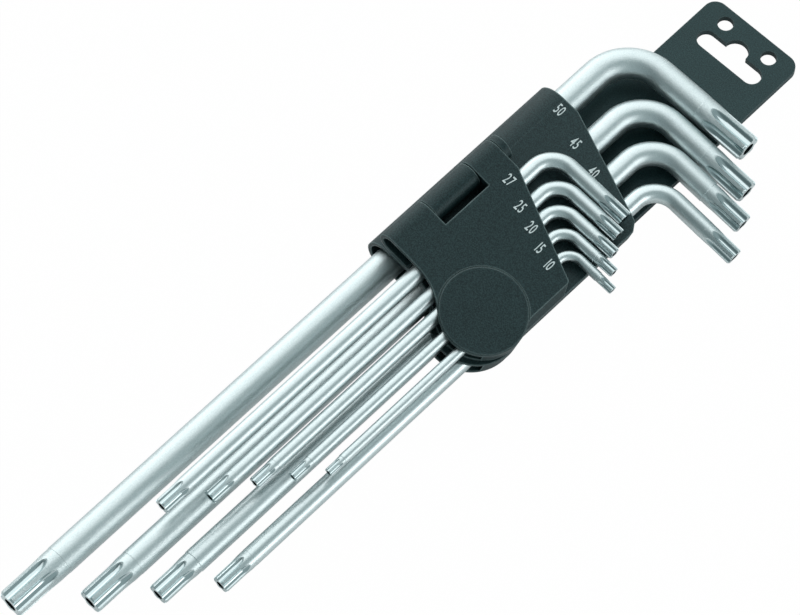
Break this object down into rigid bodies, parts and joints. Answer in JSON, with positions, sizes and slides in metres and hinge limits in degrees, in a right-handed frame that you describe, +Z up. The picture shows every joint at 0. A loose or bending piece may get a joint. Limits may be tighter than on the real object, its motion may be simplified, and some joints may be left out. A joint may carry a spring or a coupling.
{
  "type": "star key set",
  "caption": "L-shaped star keys with six-lobe tips in a two-half folding plastic holder with a slotted hang plate.",
  "frame": {"origin": "under the middle of the set, on the plane of the hang plate's back", "axes": "+Z up out of the holder's front face, +Y along the long arms towards the hang plate, +X along the short arms"},
  "size_m": [0.0743, 0.2772, 0.0261],
  "materials": {
    "plastic": "fine-grained dark moulded plastic",
    "key_steel": "satin chrome with polished tips",
    "pin_steel": "plain drawn steel"
  },
  "bodies": {
    "rear_half": {"rear_shell": "plastic", "hang_plate": "plastic", "hinge_pin": "pin_steel"},
    "front_half": {"front_shell": "plastic", "front_cover": "plastic", "round_cap": "plastic"},
    "key_50_body": {"key_50": "key_steel"},
    "key_45_body": {"key_45": "key_steel"},
    "key_40_body": {"key_40": "key_steel"},
    "key_30_body": {"key_30": "key_steel"},
    "key_27_body": {"key_27": "key_steel"},
    "key_25_body": {"key_25": "key_steel"},
    "key_20_body": {"key_20": "key_steel"},
    "key_15_body": {"key_15": "key_steel"},
    "key_10_body": {"key_10": "key_steel"}
  },
  "joints": [
    {"name": "front_fold", "type": "hinge", "parent": "rear_half", "child": "front_half", "pos_m": [-0.02819, 0.00524, 0.02197], "axis": [0, -1, 0], "range_deg": [0, 180]},
    {"name": "key_50_swivel", "type": "hinge", "parent": "rear_half", "child": "key_50_body", "pos_m": [-0.02957, 0.00524, 0.0098], "axis": [0, -1, 0], "range_deg": [0, 90]},
    {"name": "key_45_swivel", "type": "hinge", "parent": "rear_half", "child": "key_45_body", "pos_m": [-0.01507, 0.00524, 0.0093], "axis": [0, -1, 0], "range_deg": [0, 90]},
    {"name": "key_40_swivel", "type": "hinge", "parent": "rear_half", "child": "key_40_body", "pos_m": [-0.00377, 0.00524, 0.0088], "axis": [0, -1, 0], "range_deg": [0, 90]},
    {"name": "key_30_swivel", "type": "hinge", "parent": "rear_half", "child": "key_30_body", "pos_m": [0.00593, 0.00524, 0.0081], "axis": [0, -1, 0], "range_deg": [0, 90]},
    {"name": "key_27_swivel", "type": "hinge", "parent": "front_half", "child": "key_27_body", "pos_m": [-0.01775, 0.00524, 0.01964], "axis": [0, -1, 0], "range_deg": [0, 90]},
    {"name": "key_25_swivel", "type": "hinge", "parent": "front_half", "child": "key_25_body", "pos_m": [-0.0109, 0.00524, 0.0182], "axis": [0, -1, 0], "range_deg": [0, 90]},
    {"name": "key_20_swivel", "type": "hinge", "parent": "front_half", "child": "key_20_body", "pos_m": [-0.00569, 0.00524, 0.01716], "axis": [0, -1, 0], "range_deg": [0, 90]},
    {"name": "key_15_swivel", "type": "hinge", "parent": "front_half", "child": "key_15_body", "pos_m": [0, 0.00524, 0.01601], "axis": [0, -1, 0], "range_deg": [0, 90]},
    {"name": "key_10_swivel", "type": "hinge", "parent": "front_half", "child": "key_10_body", "pos_m": [0.00559, 0.00524, 0.01488], "axis": [0, -1, 0], "range_deg": [0, 90]}
  ]
}
